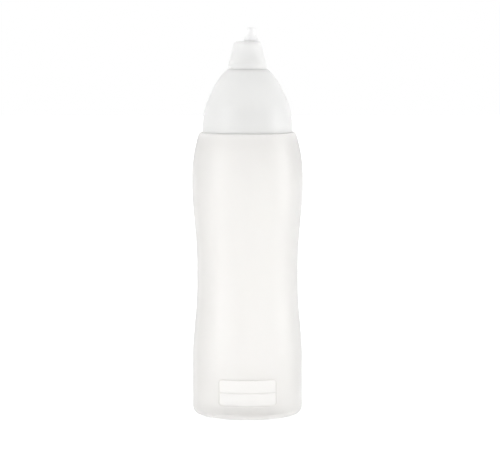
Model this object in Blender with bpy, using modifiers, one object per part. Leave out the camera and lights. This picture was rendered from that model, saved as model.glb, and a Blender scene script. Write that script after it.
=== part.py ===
"""A squeeze sauce bottle with a screw-on dome lid and a screw-on cone nozzle.

All sizes below are in millimetres and are turned into metres where a mesh is made.
The bottle stands on the XY plane with its axis on +Z. Its write-on panel faces -Y.
Both screw joints are right-handed and turn about the Z axis.
"""

import math

import bmesh
import bpy
from mathutils import Matrix

MM = 0.001
COLLECTION = "squeeze_sauce_bottle"

# Body of the bottle: a straight lower bulge, a waist and an upper bulge under the shoulder
BASE_R = 37.25
WAIST_R = 34.2
BULGE_R = 37.5
LOWER_BULGE_H = 36.1
LOWER_TAPER_H = 51.9
WAIST_H = 13.9
UPPER_TAPER_H = 56.2
SHOULDER_H = 32.8
BODY_WALL = 1.0

# Shoulder: how far it leans in at its upper corner, the corner's size, and the flat inside it
SHOULDER_LEAN = 15.5
SHOULDER_CORNER_W = 2.2
SHOULDER_CORNER_H = 2.6
SHOULDER_LEDGE = 5.6

# Foot: the corner under the wall, the flat ring it stands on, and the pushed-up middle
FOOT_CORNER_W = 4.0
FOOT_CORNER_H = 4.5
FOOT_RING_W = 2.45
PUNT_H = 3.0
PUNT_FLAT_R = 8.0
PUNT_FALL = -22.0
PINCH_LENGTH = 34.0
PINCH_WIDTH = 1.0
PINCH_DEPTH = 0.6

# Write-on panel moulded on the front of the lower bulge
PANEL_W = 39.0
PANEL_H = 18.3
PANEL_BOTTOM = 9.4
PANEL_LINE = 0.9
PANEL_CORNER = 2.6
PANEL_CELL_CORNER = 1.2
PANEL_RAISED = 0.25
PANEL_MARGIN = 1.0

# Neck of the bottle and the thread between it and the lid
NECK_BORE_R = 23.9
NECK_WALL = 1.7
NECK_H = 12.7
NECK_LIP = 0.4
LID_PITCH = 5.0
LID_THREAD_DEPTH = 1.3
LID_THREAD_ROOT_W = 2.2
LID_THREAD_CREST_W = 0.9
NECK_THREAD_START = 2.9
NECK_THREAD_END = 2.3
LID_THREAD_START = 2.05
LID_THREAD_END = 2.85

# Dome lid
LID_FLARE = 3.0
LID_EDGE = 0.4
LID_SKIRT_H = 18.2
LID_SKIRT_DRAW = 2.3
LID_SKIRT_LEAN = 14.0
LID_DOME_H = 23.8
LID_DOME_LEAN = 23.0
LID_DOME_TOP_LEAN = 48.0
LID_BROW_OUT = 0.6
LID_BROW_DROP = 0.55
LID_BROW_IN = 0.2
LID_TOP_MARGIN = 0.45
LID_WALL = 1.7
LID_LEAD_IN = 0.6

# Gasket between the neck's lip and the lid's ledge, and the bead that keeps it in the lid
GASKET_T = 1.5
GASKET_W = 2.8
GASKET_EDGE = 0.2
GASKET_BEAD = 0.65
LEDGE_OVERHANG = 0.7
GASKET_BEAD_H = 0.6

# Spout on top of the lid and the thread between it and the nozzle
SPOUT_BORE_R = 6.4
SPOUT_WALL = 2.1
SPOUT_H = 5.7
SPOUT_EDGE = 0.3
NOZZLE_PITCH = 3.0
NOZZLE_THREAD_DEPTH = 1.1
NOZZLE_THREAD_ROOT_W = 1.5
NOZZLE_THREAD_CREST_W = 0.6
SPOUT_THREAD_START = 1.3
SPOUT_THREAD_END = 1.25
NOZZLE_THREAD_START = 0.92
NOZZLE_THREAD_END = 1.34

# Retaining ring and cross-slit valve above the spout
RING_T = 1.0
RING_EDGE = 0.3
RING_STEP = 0.2
VALVE_FLANGE_T = 1.2
VALVE_WALL = 0.8
VALVE_RISE = 3.0
VALVE_RIM = 1.0
VALVE_DISH = 1.4
VALVE_DISH_LEAN = 22.0
VALVE_DISH_INSET = 0.6
VALVE_DISH_RISE = 0.5
VALVE_RIM_DROP = 0.8
VALVE_CROWN_FALL = 20.0
VALVE_SKIN = 0.8
VALVE_SLIT = 0.35
VALVE_SLIT_LENGTH = 8.4
VALVE_SLIT_H = 3.4

# Cone nozzle
NOZZLE_H = 18.5
NOZZLE_SKIRT_WALL = 3.05
NOZZLE_LIP_H = 3.2
NOZZLE_LIP_MIDDLE = 1.92
NOZZLE_LIP_ROUND = 0.3
NOZZLE_LIP_UNDER = 30.0
NOZZLE_LIP_OVER = 120.0
NOZZLE_NOTCH_W = 0.55
NOZZLE_NOTCH_H = 0.6
NOZZLE_SHOULDER_H = 4.8
NOZZLE_SHOULDER_W = 2.4
NOZZLE_CROWN_H = 0.15
NOZZLE_CROWN_LEAN = 78.0
NOZZLE_TOP_WALL = 1.7
NOZZLE_TOP_MARGIN = 0.2
NOZZLE_CAVITY_EDGE = 0.3
NOZZLE_LEAD_IN = 0.4
SNAP_BEAD = 0.5
SNAP_BEAD_H = 0.35

# Soft spout tip, buttoned through the nozzle's top and set off its axis
TIP_OFFSET = 2.4
TIP_BORE_R = 1.1
TIP_STEM_R = 3.1
TIP_FLANGE_R = 4.4
TIP_FLANGE_T = 1.1
TIP_FLARE_R = 5.0
TIP_FLARE_H = 6.0
TIP_FLARE_LEAN = 22.0
TIP_SHAFT_R = 3.15
TIP_SHAFT_LEAN = 6.0
TIP_END_R = 2.9
TIP_END_LEAN = 4.0
TIP_END_ROUND = 0.9
TIP_RISE = 8.8
TIP_EDGE = 0.3

# Fits: gaps between pieces that rest on each other, and round and between the threads
SEAT = 0.3
LID_SEAT = 0.4
SLIDE_FIT = 0.4
LID_THREAD_FIT = 0.5
NOZZLE_THREAD_FIT = 0.4
THREAD_FLANK_FIT = 0.4
VALVE_FIT = 0.5

# Thread ridges: how deep their roots reach, how they fade at their ends, and their fewest steps
THREAD_UNDER = 0.6
THREAD_FADE = 0.09
THREAD_END_SHARE = 0.06
THREAD_FEWEST = 8

# Materials: base colour, roughness and transmission
NATURAL_PE = ((0.86, 0.85, 0.82), 0.35, 0.5)
WHITE_PLASTIC = ((0.88, 0.88, 0.87), 0.3, 0.1)
WHITE_RING = ((0.88, 0.88, 0.87), 0.35, 0.0)
GASKET_RUBBER = ((0.80, 0.80, 0.78), 0.55, 0.0)
VALVE_SILICONE = ((0.84, 0.84, 0.82), 0.5, 0.0)
TIP_SILICONE = ((0.86, 0.86, 0.85), 0.4, 0.5)
SMOOTH_ANGLE = 35.0

# Mesh steps around the axis, and along one turn of a thread
SIDES = 40
SMALL_SIDES = 32
TIP_SIDES = 24
THREAD_STEPS = 36

# Heights of the body that follow from its lengths
TAPER_Z = LOWER_BULGE_H
WAIST_Z = TAPER_Z + LOWER_TAPER_H
UPPER_TAPER_Z = WAIST_Z + WAIST_H
BULGE_Z = UPPER_TAPER_Z + UPPER_TAPER_H
BODY_H = BULGE_Z + SHOULDER_H
NECK_TOP = BODY_H + NECK_H

# Radii and heights of the lid's fit on the neck
NECK_ROOT_R = NECK_BORE_R + NECK_WALL
NECK_CREST_R = NECK_ROOT_R + LID_THREAD_DEPTH
LID_BORE_R = NECK_CREST_R + LID_THREAD_FIT
LID_BASE_R = LID_BORE_R + LID_FLARE
LID_Z = BODY_H + LID_SEAT
GASKET_Z = NECK_TOP + SEAT
GASKET_OUTER_R = LID_BORE_R - SLIDE_FIT
GASKET_INNER_R = GASKET_OUTER_R - GASKET_W
GASKET_BEAD_TOP = GASKET_Z - SEAT
LEDGE_Z = GASKET_Z + GASKET_T + SEAT
LEDGE_R = GASKET_INNER_R + LEDGE_OVERHANG
LID_TOP_Z = LID_Z + LID_SKIRT_H + LID_DOME_H

# Radii and heights of the nozzle's fit on the spout
SPOUT_ROOT_R = SPOUT_BORE_R + SPOUT_WALL
SPOUT_CREST_R = SPOUT_ROOT_R + NOZZLE_THREAD_DEPTH
SPOUT_TOP = LID_TOP_Z + SPOUT_H
NOZZLE_BORE_R = SPOUT_CREST_R + NOZZLE_THREAD_FIT
NOZZLE_LIP_R = NOZZLE_BORE_R + NOZZLE_SKIRT_WALL
NOZZLE_Z = LID_TOP_Z + SEAT
NOZZLE_TOP_Z = NOZZLE_Z + NOZZLE_H
LID_TOP_R = NOZZLE_LIP_R + LID_TOP_MARGIN
RING_Z = SPOUT_TOP + SEAT
SNAP_BEAD_TOP = RING_Z - SEAT
VALVE_Z = RING_Z + RING_T + SEAT
VALVE_IN_R = SPOUT_BORE_R + RING_STEP
VALVE_OUT_R = VALVE_IN_R + VALVE_WALL
VALVE_LEDGE_Z = VALVE_Z + VALVE_FLANGE_T + SEAT
VALVE_TOP = VALVE_Z + VALVE_FLANGE_T + VALVE_RISE
NOZZLE_CAVITY_R = VALVE_OUT_R + VALVE_FIT
NOZZLE_CAVITY_TOP_R = TIP_OFFSET + TIP_FLANGE_R + SLIDE_FIT
NOZZLE_TOP_R = TIP_OFFSET + TIP_FLARE_R + NOZZLE_TOP_MARGIN


def clear_scene():
    """Start from nothing, so that a second run gives the same objects."""
    for thing in list(bpy.data.objects):
        bpy.data.objects.remove(thing, do_unlink=True)
    for group in list(bpy.data.collections):
        bpy.data.collections.remove(group)


def new_collection(name):
    group = bpy.data.collections.new(name)
    bpy.context.scene.collection.children.link(group)
    return group


def bend(start, start_angle, end, end_angle, count):
    """Points on a smooth curve between two (radius, height) points.

    The angles give the direction of travel in degrees: 0 is outward, 90 is up, 180 is inward.
    The first point is left out, so that curves can be joined end to end.
    """
    reach = math.dist(start, end) * 0.37
    a0 = math.radians(start_angle)
    a1 = math.radians(end_angle)
    h0 = (start[0] + reach * math.cos(a0), start[1] + reach * math.sin(a0))
    h1 = (end[0] - reach * math.cos(a1), end[1] - reach * math.sin(a1))
    points = []
    for i in range(1, count + 1):
        t = i / count
        w = ((1 - t) ** 3, 3 * t * (1 - t) ** 2, 3 * t * t * (1 - t), t**3)
        r = w[0] * start[0] + w[1] * h0[0] + w[2] * h1[0] + w[3] * end[0]
        z = w[0] * start[1] + w[1] * h0[1] + w[2] * h1[1] + w[3] * end[1]
        points.append((r, z))
    return points


def wave(r0, z0, r1, z1, count):
    """Points from one radius to another along half a cosine wave, without the first point."""
    points = []
    for i in range(1, count + 1):
        t = i / count
        r = r0 + (r1 - r0) * (1 - math.cos(math.pi * t)) / 2
        points.append((r, z0 + (z1 - z0) * t))
    return points


def inset(path, gap):
    """The same path moved to its left by gap, with its corners mitred."""
    normals = []
    for a, b in zip(path, path[1:]):
        length = math.dist(a, b)
        normals.append((-(b[1] - a[1]) / length, (b[0] - a[0]) / length))
    moved = []
    for i, point in enumerate(path):
        n0 = normals[max(i - 1, 0)]
        n1 = normals[min(i, len(normals) - 1)]
        share = gap / (1 + n0[0] * n1[0] + n0[1] * n1[1])
        r = point[0] + (n0[0] + n1[0]) * share
        z = point[1] + (n0[1] + n1[1]) * share
        moved.append((max(r, 0.0), z))
    return moved


def between_radii(path, low, high):
    """The stretch of an inward-running path between two radii, cut exactly at each."""
    kept = []
    for a, b in zip(path, path[1:]):
        for limit in (high, low):
            if a[0] > limit > b[0]:
                t = (a[0] - limit) / (a[0] - b[0])
                kept.append((limit, a[1] + (b[1] - a[1]) * t))
        if low < b[0] < high:
            kept.append(b)
    return kept


def as_tool(thing):
    """Mark an object as one that only shapes others."""
    thing.hide_render = True
    thing.display_type = "WIRE"
    return thing


def add_object(name, collection, data):
    thing = bpy.data.objects.new(name, data)
    collection.objects.link(thing)
    return thing


def revolve(name, collection, profile, sides, closed):
    """A profile of (radius, height) points turned about Z with a Screw modifier.

    Every profile is given running up its outer side, and is laid down reversed to face outward.
    """
    vertices = [(r * MM, 0.0, z * MM) for r, z in reversed(profile)]
    edges = [(i, i + 1) for i in range(len(profile) - 1)]
    if closed:
        edges.append((len(profile) - 1, 0))
    mesh = bpy.data.meshes.new(name)
    mesh.from_pydata(vertices, edges, [])
    thing = add_object(name, collection, mesh)
    screw = thing.modifiers.new("turn", "SCREW")
    screw.axis = "Z"
    screw.angle = math.tau
    screw.steps = sides
    screw.render_steps = sides
    screw.use_merge_vertices = True
    screw.merge_threshold = 0.00001
    screw.use_smooth_shade = True
    return thing


def helix_ridge(name, collection, root_r, crest_r, z0, pitch, first, turns, root_w, crest_w):
    """A right-handed thread ridge that fades out at both ends.

    z0 is the height of its middle at angle zero. first and turns are counted in turns. Its root
    reaches under root_r, into the wall that it is joined to.
    """
    under = math.copysign(THREAD_UNDER, crest_r - root_r)
    steps = max(THREAD_FEWEST, round(turns * THREAD_STEPS))
    mesh = bmesh.new()
    rings = []
    for i in range(steps + 1):
        turn = first + turns * i / steps
        from_end = min(turn - first, first + turns - turn)
        grow = THREAD_END_SHARE + (1 - THREAD_END_SHARE) * min(1.0, from_end / THREAD_FADE)
        crest = root_r + (crest_r - root_r) * grow
        z = z0 + pitch * turn
        angle = math.tau * turn
        section = (
            (root_r - under, -root_w / 2),
            (root_r, -root_w / 2),
            (crest, -crest_w / 2),
            (crest, crest_w / 2),
            (root_r, root_w / 2),
            (root_r - under, root_w / 2),
        )
        ring = []
        for r, dz in section:
            place = (r * math.cos(angle) * MM, r * math.sin(angle) * MM, (z + dz) * MM)
            ring.append(mesh.verts.new(place))
        rings.append(ring)
    for a, b in zip(rings, rings[1:]):
        for k in range(len(a)):
            n = (k + 1) % len(a)
            mesh.faces.new((a[k], a[n], b[n], b[k]))
    mesh.faces.new(rings[0])
    mesh.faces.new(list(reversed(rings[-1])))
    bmesh.ops.recalc_face_normals(mesh, faces=mesh.faces)
    data = bpy.data.meshes.new(name)
    mesh.to_mesh(data)
    mesh.free()
    return as_tool(add_object(name, collection, data))


def thread_drop(root_w, crest_w, depth, fit):
    """How far an inner thread lies under the outer one, flank to flank with the named gap."""
    slope = (root_w - crest_w) / 2 / depth
    return (root_w + crest_w) / 2 - slope * fit + THREAD_FLANK_FIT


def block(name, collection, size, location, turn=0.0):
    """A box for cutting or adding, given its size, its centre and its turn about Z."""
    mesh = bmesh.new()
    bmesh.ops.create_cube(mesh, size=1.0, matrix=Matrix.Diagonal((*[s * MM for s in size], 1.0)))
    data = bpy.data.meshes.new(name)
    mesh.to_mesh(data)
    mesh.free()
    thing = as_tool(add_object(name, collection, data))
    thing.location = [v * MM for v in location]
    thing.rotation_euler = (0, 0, math.radians(turn))
    return thing


def combine(thing, tool, operation):
    step = thing.modifiers.new(f"{operation.lower()}_{tool.name}", "BOOLEAN")
    step.operation = operation
    step.solver = "EXACT"
    step.object = tool


def finish(thing, look):
    """One material per piece, and smooth shading that breaks at real edges."""
    colour, roughness, transmission = look
    material = bpy.data.materials.new(f"{thing.name}_material")
    material.use_nodes = True
    shader = material.node_tree.nodes["Principled BSDF"]
    shader.inputs["Base Color"].default_value = (*colour, 1.0)
    shader.inputs["Metallic"].default_value = 0.0
    shader.inputs["Roughness"].default_value = roughness
    shader.inputs["Transmission Weight"].default_value = transmission
    thing.data.materials.append(material)
    thing.data.shade_smooth()
    thing.data.set_sharp_from_angle(angle=math.radians(SMOOTH_ANGLE))


def rounded_rectangle(width, low, high, corner, steps=4):
    """Points of a rounded rectangle centred on x = 0, running anticlockwise."""
    side = width / 2 - corner
    centres = (
        (side, low + corner, -90),
        (side, high - corner, 0),
        (-side, high - corner, 90),
        (-side, low + corner, 180),
    )
    points = []
    for x, z, start in centres:
        for i in range(steps + 1):
            angle = math.radians(start + 90 * i / steps)
            points.append((x + corner * math.cos(angle), z + corner * math.sin(angle)))
    return points


def panel_outline(tools):
    """The panel's frame and its middle rule, as a flat outline extruded through the front."""
    top = PANEL_BOTTOM + PANEL_H
    middle = PANEL_BOTTOM + PANEL_H / 2
    cell_w = PANEL_W - 2 * PANEL_LINE
    outlines = (
        rounded_rectangle(PANEL_W, PANEL_BOTTOM, top, PANEL_CORNER),
        rounded_rectangle(
            cell_w, PANEL_BOTTOM + PANEL_LINE, middle - PANEL_LINE / 2, PANEL_CELL_CORNER
        ),
        rounded_rectangle(cell_w, middle + PANEL_LINE / 2, top - PANEL_LINE, PANEL_CELL_CORNER),
    )
    curve = bpy.data.curves.new("panel_outline", "CURVE")
    curve.dimensions = "2D"
    curve.fill_mode = "BOTH"
    curve.extrude = BASE_R / 2 * MM
    for outline in outlines:
        spline = curve.splines.new("POLY")
        spline.points.add(len(outline) - 1)
        for point, (x, z) in zip(spline.points, outline):
            point.co = (x * MM, z * MM, 0.0, 1.0)
        spline.use_cyclic_u = True
    flat = add_object("panel_curve", tools, curve)
    flat.rotation_euler = (math.radians(90), 0, 0)
    flat.location = (0, -BASE_R * MM, 0)
    bpy.context.view_layer.update()

    evaluated = flat.evaluated_get(bpy.context.evaluated_depsgraph_get())
    data = bpy.data.meshes.new_from_object(evaluated)
    mesh = bmesh.new()
    mesh.from_mesh(data)
    bmesh.ops.remove_doubles(mesh, verts=mesh.verts, dist=0.000001)
    bmesh.ops.recalc_face_normals(mesh, faces=mesh.faces)
    mesh.to_mesh(data)
    mesh.free()
    frame = as_tool(add_object("panel_frame", tools, data))
    frame.matrix_world = flat.matrix_world
    bpy.data.objects.remove(flat, do_unlink=True)
    return frame


def panel_ribs(tools):
    """The raised lines of the write-on panel: its outline, kept where it meets a thin skin."""
    low = PANEL_BOTTOM - PANEL_MARGIN
    high = PANEL_BOTTOM + PANEL_H + PANEL_MARGIN
    inner_r = BASE_R - BODY_WALL / 2
    outer_r = BASE_R + PANEL_RAISED
    profile = [(outer_r, low), (outer_r, high), (inner_r, high), (inner_r, low)]
    skin = as_tool(revolve("panel_ribs", tools, profile, SIDES, closed=True))
    combine(skin, panel_outline(tools), "INTERSECT")
    return skin


def body_outside():
    """The outside of the bottle, from the middle of its base to the root of its neck."""
    ring_out = BASE_R - FOOT_CORNER_W
    ring_in = ring_out - FOOT_RING_W
    path = [(0.0, PUNT_H), (PUNT_FLAT_R, PUNT_H)]
    path += bend(path[-1], 0, (ring_in, 0.0), PUNT_FALL, 3)
    path.append((ring_out, 0.0))
    path += bend(path[-1], 0, (BASE_R, FOOT_CORNER_H), 90, 4)
    path.append((BASE_R, TAPER_Z))
    path += wave(BASE_R, TAPER_Z, WAIST_R, WAIST_Z, 5)
    path.append((WAIST_R, UPPER_TAPER_Z))
    path += wave(WAIST_R, UPPER_TAPER_Z, BULGE_R, BULGE_Z, 5)
    edge_r = NECK_ROOT_R + SHOULDER_LEDGE
    corner = (edge_r + SHOULDER_CORNER_W, BODY_H - SHOULDER_CORNER_H)
    path += bend(path[-1], 90, corner, 90 + SHOULDER_LEAN, 4)
    path += bend(corner, 90 + SHOULDER_LEAN, (edge_r, BODY_H), 180, 3)
    path.append((NECK_ROOT_R, BODY_H))
    return path


def make_bottle(parts, tools):
    outside = body_outside()
    inside = inset(outside, BODY_WALL)
    inside[0] = (0.0, PUNT_H + BODY_WALL)
    inside[-1] = (NECK_BORE_R, BODY_H - BODY_WALL)
    neck = [
        (NECK_ROOT_R, NECK_TOP - NECK_LIP),
        (NECK_ROOT_R - NECK_LIP, NECK_TOP),
        (NECK_BORE_R + NECK_LIP, NECK_TOP),
        (NECK_BORE_R, NECK_TOP - NECK_LIP),
    ]
    profile = outside + neck + list(reversed(inside))
    bottle = revolve("bottle", parts, profile, SIDES, closed=False)
    thread = helix_ridge(
        "neck_thread", tools, NECK_ROOT_R, NECK_CREST_R, BODY_H + NECK_THREAD_START, LID_PITCH,
        0.0, (NECK_H - NECK_THREAD_START - NECK_THREAD_END) / LID_PITCH,
        LID_THREAD_ROOT_W, LID_THREAD_CREST_W,
    )
    rooted = BODY_WALL / 2
    pinch = block(
        "pinch_off", tools, (PINCH_LENGTH, PINCH_WIDTH, PINCH_DEPTH + rooted),
        (0.0, 0.0, PUNT_H + (rooted - PINCH_DEPTH) / 2),
    )
    combine(bottle, thread, "UNION")
    combine(bottle, panel_ribs(tools), "UNION")
    combine(bottle, pinch, "UNION")
    finish(bottle, NATURAL_PE)
    return bottle


def make_gasket(parts):
    profile = [
        (GASKET_INNER_R, 0.0),
        (GASKET_OUTER_R - GASKET_EDGE, 0.0),
        (GASKET_OUTER_R, GASKET_EDGE),
        (GASKET_OUTER_R, GASKET_T - GASKET_EDGE),
        (GASKET_OUTER_R - GASKET_EDGE, GASKET_T),
        (GASKET_INNER_R, GASKET_T),
    ]
    gasket = revolve("lid_gasket", parts, profile, SIDES, closed=True)
    gasket.location = (0, 0, GASKET_Z * MM)
    finish(gasket, GASKET_RUBBER)
    return gasket


def lid_outside():
    """The outside of the lid above its lower edge, in to the root of its spout."""
    top = LID_SKIRT_H + LID_DOME_H
    path = [(LID_BASE_R - LID_EDGE, 0.0), (LID_BASE_R, LID_EDGE)]
    kink = (LID_BASE_R - LID_SKIRT_DRAW, LID_SKIRT_H)
    path += bend(path[-1], 90, kink, 90 + LID_SKIRT_LEAN, 4)
    brow = (LID_TOP_R + LID_BROW_OUT, top - LID_BROW_DROP)
    path += bend(kink, 90 + LID_DOME_LEAN, brow, 90 + LID_DOME_TOP_LEAN, 6)
    path += bend(brow, 90 + LID_DOME_TOP_LEAN, (LID_TOP_R - LID_BROW_IN, top), 180, 2)
    path.append((SPOUT_ROOT_R, top))
    return path


def make_lid(parts, tools):
    top = LID_SKIRT_H + LID_DOME_H
    ledge = LEDGE_Z - LID_Z
    bead = GASKET_BEAD_TOP - LID_Z
    outside = lid_outside()
    spout = [
        (SPOUT_ROOT_R, top + SPOUT_H - SPOUT_EDGE),
        (SPOUT_ROOT_R - SPOUT_EDGE, top + SPOUT_H),
        (SPOUT_BORE_R, top + SPOUT_H),
    ]
    dome_inside = between_radii(inset(outside, LID_WALL), SPOUT_BORE_R, LEDGE_R)
    spout_root = (SPOUT_BORE_R, top - LID_WALL)
    skirt_inside = [
        (LEDGE_R, ledge),
        (LID_BORE_R, ledge),
        (LID_BORE_R, bead),
        (LID_BORE_R - GASKET_BEAD, bead - GASKET_BEAD_H / 2),
        (LID_BORE_R, bead - 1.5 * GASKET_BEAD_H),
        (LID_BORE_R, LID_LEAD_IN),
        (LID_BORE_R + LID_LEAD_IN, 0.0),
    ]
    profile = outside + spout + [spout_root] + list(reversed(dome_inside)) + skirt_inside
    lid = revolve("dome_lid", parts, profile, SIDES, closed=True)
    lid.location = (0, 0, LID_Z * MM)

    drop = thread_drop(
        LID_THREAD_ROOT_W, LID_THREAD_CREST_W, LID_THREAD_DEPTH, LID_THREAD_FIT
    )
    z0 = BODY_H + NECK_THREAD_START - drop
    low = LID_Z + LID_THREAD_START
    high = GASKET_BEAD_TOP - 1.5 * GASKET_BEAD_H - LID_THREAD_END
    inner_thread = helix_ridge(
        "lid_thread", tools, LID_BORE_R, LID_BORE_R - LID_THREAD_DEPTH, z0, LID_PITCH,
        (low - z0) / LID_PITCH, (high - low) / LID_PITCH, LID_THREAD_ROOT_W, LID_THREAD_CREST_W,
    )
    outer_thread = helix_ridge(
        "spout_thread", tools, SPOUT_ROOT_R, SPOUT_CREST_R, LID_TOP_Z + SPOUT_THREAD_START,
        NOZZLE_PITCH, 0.0, (SPOUT_H - SPOUT_THREAD_START - SPOUT_THREAD_END) / NOZZLE_PITCH,
        NOZZLE_THREAD_ROOT_W, NOZZLE_THREAD_CREST_W,
    )
    combine(lid, inner_thread, "UNION")
    combine(lid, outer_thread, "UNION")
    finish(lid, WHITE_PLASTIC)
    return lid


def make_retainer(parts):
    outer_r = NOZZLE_BORE_R - SEAT
    inner_r = SPOUT_BORE_R + RING_STEP
    profile = [
        (inner_r, 0.0),
        (outer_r - RING_EDGE, 0.0),
        (outer_r, RING_EDGE),
        (outer_r, RING_T),
        (inner_r, RING_T),
    ]
    ring = revolve("valve_retainer", parts, profile, SMALL_SIDES, closed=True)
    ring.location = (0, 0, RING_Z * MM)
    finish(ring, WHITE_RING)
    return ring


def make_valve(parts, tools):
    """A flange, a short wall and a dished head, cut by two crossing slits."""
    flange_r = NOZZLE_BORE_R - SLIDE_FIT
    rim = VALVE_TOP - VALVE_Z
    centre = rim - VALVE_DISH
    under_rim = rim - VALVE_RIM
    profile = [(0.0, centre - VALVE_SKIN)]
    dish_edge = (VALVE_IN_R - VALVE_DISH_INSET, under_rim - VALVE_DISH_RISE)
    profile += bend(profile[-1], 0, dish_edge, VALVE_DISH_LEAN, 3)
    profile += [
        (VALVE_IN_R, under_rim - VALVE_RIM),
        (VALVE_IN_R, 0.0),
        (flange_r, 0.0),
        (flange_r, VALVE_FLANGE_T),
        (VALVE_OUT_R, VALVE_FLANGE_T),
        (VALVE_OUT_R, rim - VALVE_RIM_DROP),
    ]
    crown = (VALVE_OUT_R - VALVE_RIM, rim)
    profile += bend(profile[-1], 90, crown, 180, 2)
    profile += bend(crown, 180 + VALVE_CROWN_FALL, (0.0, centre), 180, 4)
    valve = revolve("valve", parts, profile, SMALL_SIDES, closed=False)
    valve.location = (0, 0, VALVE_Z * MM)
    for turn in (45, 135):
        slit = block(
            f"slit_{turn}", tools, (VALVE_SLIT_LENGTH, VALVE_SLIT, VALVE_SLIT_H),
            (0.0, 0.0, VALVE_Z + centre), turn,
        )
        combine(valve, slit, "DIFFERENCE")
    finish(valve, VALVE_SILICONE)
    return valve


def nozzle_outside():
    """The outside of the cone nozzle, from its lower edge to the edge of its top."""
    notch_r = NOZZLE_LIP_R - NOZZLE_NOTCH_W
    lip_top_r = NOZZLE_LIP_R - NOZZLE_LIP_ROUND
    cone_top = (NOZZLE_TOP_R + NOZZLE_SHOULDER_W, NOZZLE_H - NOZZLE_SHOULDER_H)
    taper = math.degrees(math.atan2(lip_top_r - cone_top[0], cone_top[1] - NOZZLE_LIP_H))
    path = [(notch_r, 0.0), (notch_r, NOZZLE_NOTCH_H)]
    path += bend(path[-1], NOZZLE_LIP_UNDER, (NOZZLE_LIP_R, NOZZLE_LIP_MIDDLE), 90, 2)
    path += bend(path[-1], 90, (lip_top_r, NOZZLE_LIP_H), NOZZLE_LIP_OVER, 2)
    path.append(cone_top)
    crown = (NOZZLE_TOP_R, NOZZLE_H - NOZZLE_CROWN_H)
    path += bend(cone_top, 90 + taper, crown, 90 + NOZZLE_CROWN_LEAN, 4)
    return path


def make_nozzle(parts, tools):
    ledge = VALVE_LEDGE_Z - NOZZLE_Z
    bead = SNAP_BEAD_TOP - NOZZLE_Z
    cavity_top = NOZZLE_H - NOZZLE_TOP_WALL
    inside = [
        (0.0, cavity_top),
        (NOZZLE_CAVITY_TOP_R - NOZZLE_CAVITY_EDGE, cavity_top),
        (NOZZLE_CAVITY_TOP_R, cavity_top - NOZZLE_CAVITY_EDGE),
        (NOZZLE_CAVITY_R, VALVE_TOP + SEAT - NOZZLE_Z),
        (NOZZLE_CAVITY_R, ledge),
        (NOZZLE_BORE_R, ledge),
        (NOZZLE_BORE_R, bead),
        (NOZZLE_BORE_R - SNAP_BEAD, bead - SNAP_BEAD_H),
        (NOZZLE_BORE_R, bead - 2 * SNAP_BEAD_H),
        (NOZZLE_BORE_R, NOZZLE_LEAD_IN),
        (NOZZLE_BORE_R + NOZZLE_LEAD_IN, 0.0),
    ]
    profile = inside + nozzle_outside() + [(0.0, NOZZLE_H)]
    nozzle = revolve("nozzle_cone", parts, profile, SMALL_SIDES, closed=False)
    nozzle.location = (0, 0, NOZZLE_Z * MM)

    reach = 2 * NOZZLE_TOP_WALL
    hole_r = TIP_STEM_R + SEAT
    hole_profile = [(0.0, -reach), (hole_r, -reach), (hole_r, reach), (0.0, reach)]
    hole = as_tool(revolve("tip_hole", tools, hole_profile, TIP_SIDES, closed=False))
    hole.location = (TIP_OFFSET * MM, 0, NOZZLE_TOP_Z * MM)

    drop = thread_drop(
        NOZZLE_THREAD_ROOT_W, NOZZLE_THREAD_CREST_W, NOZZLE_THREAD_DEPTH, NOZZLE_THREAD_FIT
    )
    z0 = LID_TOP_Z + SPOUT_THREAD_START - drop
    low = NOZZLE_Z + NOZZLE_THREAD_START
    high = SNAP_BEAD_TOP - 2 * SNAP_BEAD_H - NOZZLE_THREAD_END
    thread = helix_ridge(
        "nozzle_thread", tools, NOZZLE_BORE_R, NOZZLE_BORE_R - NOZZLE_THREAD_DEPTH, z0,
        NOZZLE_PITCH, (low - z0) / NOZZLE_PITCH, (high - low) / NOZZLE_PITCH,
        NOZZLE_THREAD_ROOT_W, NOZZLE_THREAD_CREST_W,
    )
    combine(nozzle, hole, "DIFFERENCE")
    combine(nozzle, thread, "UNION")
    finish(nozzle, WHITE_PLASTIC)
    return nozzle


def make_tip(parts):
    """The tip's profile about its own axis, with z = 0 at the top of the nozzle."""
    stem_low = -NOZZLE_TOP_WALL - SEAT
    flange_low = stem_low - TIP_FLANGE_T
    top = SEAT + TIP_RISE
    profile = [
        (TIP_BORE_R, flange_low),
        (TIP_FLANGE_R - TIP_EDGE, flange_low),
        (TIP_FLANGE_R, flange_low + TIP_EDGE),
        (TIP_FLANGE_R, stem_low),
        (TIP_STEM_R, stem_low),
        (TIP_STEM_R, SEAT),
        (TIP_FLARE_R, SEAT),
        (TIP_FLARE_R, SEAT + TIP_EDGE),
    ]
    shaft = (TIP_SHAFT_R, SEAT + TIP_FLARE_H)
    profile += bend(profile[-1], 90 + TIP_FLARE_LEAN, shaft, 90 + TIP_SHAFT_LEAN, 5)
    profile.append((TIP_END_R, top - TIP_END_ROUND))
    crown = (TIP_END_R - TIP_END_ROUND, top)
    profile += bend(profile[-1], 90 + TIP_END_LEAN, crown, 180, 3)
    profile.append((TIP_BORE_R, top))
    tip = revolve("nozzle_tip", parts, profile, TIP_SIDES, closed=True)
    tip.location = (TIP_OFFSET * MM, 0, NOZZLE_TOP_Z * MM)
    finish(tip, TIP_SILICONE)
    return tip


def hold(parent, *children):
    """Parent pieces to the one that carries them, without moving them."""
    bpy.context.view_layer.update()
    for child in children:
        child.parent = parent
        child.matrix_parent_inverse = parent.matrix_world.inverted()


clear_scene()
parts = new_collection(COLLECTION)
tools = new_collection("shaping_tools")
bottle = make_bottle(parts, tools)
gasket = make_gasket(parts)
lid = make_lid(parts, tools)
retainer = make_retainer(parts)
valve = make_valve(parts, tools)
nozzle = make_nozzle(parts, tools)
tip = make_tip(parts)

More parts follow.
